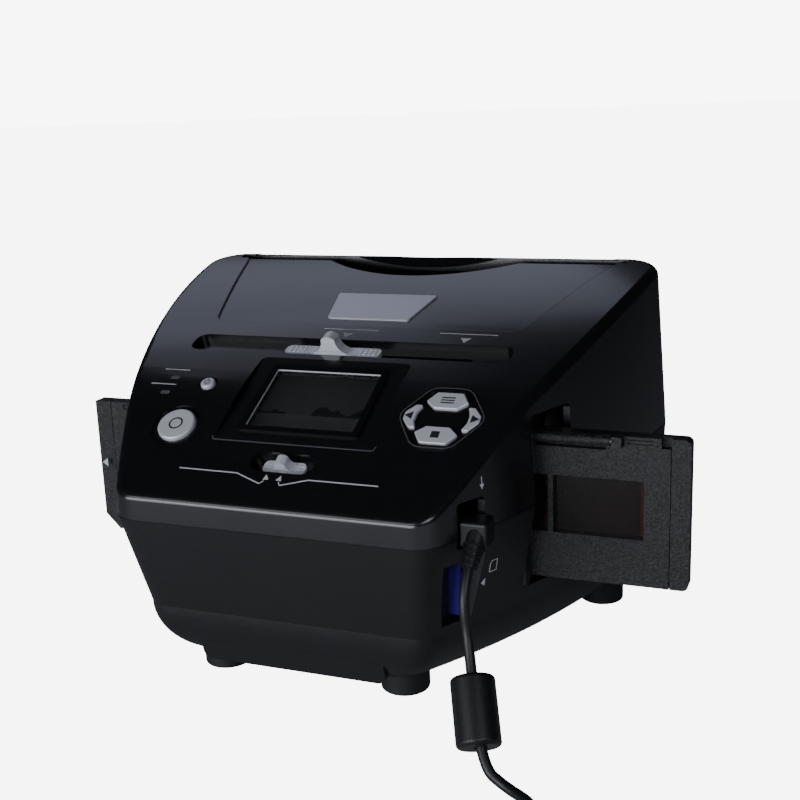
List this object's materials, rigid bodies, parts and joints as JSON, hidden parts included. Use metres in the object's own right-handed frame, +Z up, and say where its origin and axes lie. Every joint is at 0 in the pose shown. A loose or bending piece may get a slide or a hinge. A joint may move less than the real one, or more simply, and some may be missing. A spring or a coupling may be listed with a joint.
{
  "type": "film negative scanner",
  "caption": "Desktop scanner for strips of film negatives and paper photos, with a tilted screen, keys, a sliding light, a film holder through its sides and a cable.",
  "frame": {"origin": "on the table under the middle of the casing, on its left-right symmetry plane", "axes": "+X to the right as the user sees it, +Y to the back, +Z up"},
  "size_m": [0.3056, 0.382, 0.1555],
  "materials": {
    "gloss_black": "polished",
    "casing_black": "fine grain",
    "silver": "satin",
    "guide_black": "matt",
    "holder_black": "grained",
    "screen_glass": "polished",
    "screen_trim": "polished",
    "screen_panel": "satin",
    "clear": "frosted",
    "film": "glossy",
    "board_green": "satin",
    "chip": "matt",
    "steel": "brushed",
    "light_plastic": "matt",
    "card_blue": "satin",
    "rubber": "matt",
    "cord": "satin"
  },
  "bodies": {
    "casing": {"upper_casing": "gloss_black", "lower_casing": "casing_black", "front_left_foot": "rubber", "front_right_foot": "rubber", "rear_left_foot": "rubber", "rear_right_foot": "rubber", "case_screws": "steel", "lcd_frame": "screen_trim", "lcd_window": "screen_glass", "lcd_module": "screen_panel", "nav_ring": "screen_trim", "nameplate": "silver", "led_windows": "clear", "left_button_board": "board_green", "right_button_board": "board_green", "tact_switches": "chip", "lower_guide_rod": "steel", "upper_guide_rod": "steel", "mode_switch_body": "chip", "film_guide": "guide_black", "camera_bracket": "guide_black", "camera_board": "board_green", "image_sensor": "chip", "lens_barrel": "guide_black", "scan_lens": "clear", "main_board": "board_green", "image_processor": "chip", "memory_chip": "chip", "board_screws": "steel", "photo_guide": "guide_black", "left_photo_lamp": "light_plastic", "right_photo_lamp": "light_plastic", "left_photo_lamp_diffuser": "light_plastic", "right_photo_lamp_diffuser": "light_plastic", "io_board": "board_green", "sd_socket": "steel", "usb_socket": "steel", "usb_plug": "cord", "usb_cable": "cord", "ferrite_core": "cord", "cable_coil": "cord", "cable_tie": "cord", "cable_tail": "cord", "usb_a_plug": "cord"},
    "film_holder": {"film_holder_base": "holder_black", "film_holder_lid": "holder_black", "holder_hinge_pins": "steel", "film_strip": "film"},
    "light_slider": {"focus_slider": "silver", "light_carriage": "guide_black", "film_backlight": "light_plastic", "backlight_diffuser": "light_plastic"},
    "mode_switch": {"mode_switch_knob": "silver"},
    "scan_key": {"scan_button": "silver"},
    "power_key": {"power_button": "silver"},
    "mode_key": {"mode_button": "silver"},
    "enter_key": {"enter_button": "silver"},
    "left_key": {"left_button": "silver"},
    "right_key": {"right_button": "silver"},
    "memory_card": {"sd_card": "card_blue"}
  },
  "joints": [
    {"name": "film_holder_slide", "type": "slide", "parent": "casing", "child": "film_holder", "axis": [1, 0, 0], "range_m": [-0.114, 0.076]},
    {"name": "light_slide", "type": "slide", "parent": "casing", "child": "light_slider", "axis": [1, 0, 0], "range_m": [0, 0.056]},
    {"name": "mode_switch_slide", "type": "slide", "parent": "casing", "child": "mode_switch", "axis": [1, 0, 0], "range_m": [-0.0036, 0.0036]},
    {"name": "scan_press", "type": "slide", "parent": "casing", "child": "scan_key", "axis": [0, 0.549, -0.8358], "range_m": [0, 0.0008], "stiffness_N_per_m": 300},
    {"name": "power_press", "type": "slide", "parent": "casing", "child": "power_key", "axis": [0, 0.4286, -0.9035], "range_m": [0, 0.0008], "stiffness_N_per_m": 300},
    {"name": "mode_press", "type": "slide", "parent": "casing", "child": "mode_key", "axis": [0, 0.5001, -0.8659], "range_m": [0, 0.0008], "stiffness_N_per_m": 300},
    {"name": "enter_press", "type": "slide", "parent": "casing", "child": "enter_key", "axis": [0, 0.5001, -0.8659], "range_m": [0, 0.0008], "stiffness_N_per_m": 300},
    {"name": "left_press", "type": "slide", "parent": "casing", "child": "left_key", "axis": [0, 0.5001, -0.8659], "range_m": [0, 0.0008], "stiffness_N_per_m": 300},
    {"name": "right_press", "type": "slide", "parent": "casing", "child": "right_key", "axis": [0, 0.5001, -0.8659], "range_m": [0, 0.0008], "stiffness_N_per_m": 300},
    {"name": "card_slide", "type": "slide", "parent": "casing", "child": "memory_card", "axis": [1, 0, 0], "range_m": [0, 0.022]}
  ]
}
